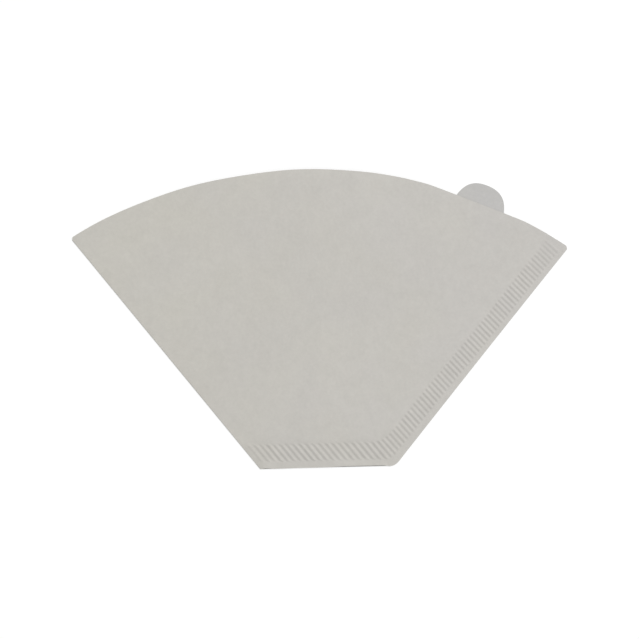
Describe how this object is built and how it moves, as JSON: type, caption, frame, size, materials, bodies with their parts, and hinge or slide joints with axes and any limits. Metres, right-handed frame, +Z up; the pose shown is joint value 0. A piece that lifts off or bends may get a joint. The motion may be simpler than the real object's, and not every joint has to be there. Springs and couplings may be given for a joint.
{
  "type": "paper coffee filter",
  "caption": "Flat cone coffee filter of white paper, folded at one side, crimped along the bottom and the other side, with a round pull tab at its curved mouth.",
  "frame": {"origin": "middle of the bounding box, on the surface that the back layer lies on", "axes": "+X across the filter from the folded side to the crimped seam, +Y from the crimped bottom to the open mouth, +Z up out of the front layer"},
  "size_m": [0.1798, 0.1086, 0.0016],
  "materials": {
    "paper": "matte, slightly warm white filter paper with a fine fibre mottle and embossed crimp ridges"
  },
  "bodies": {
    "root": {"filter_paper": "paper"}
  },
  "joints": []
}
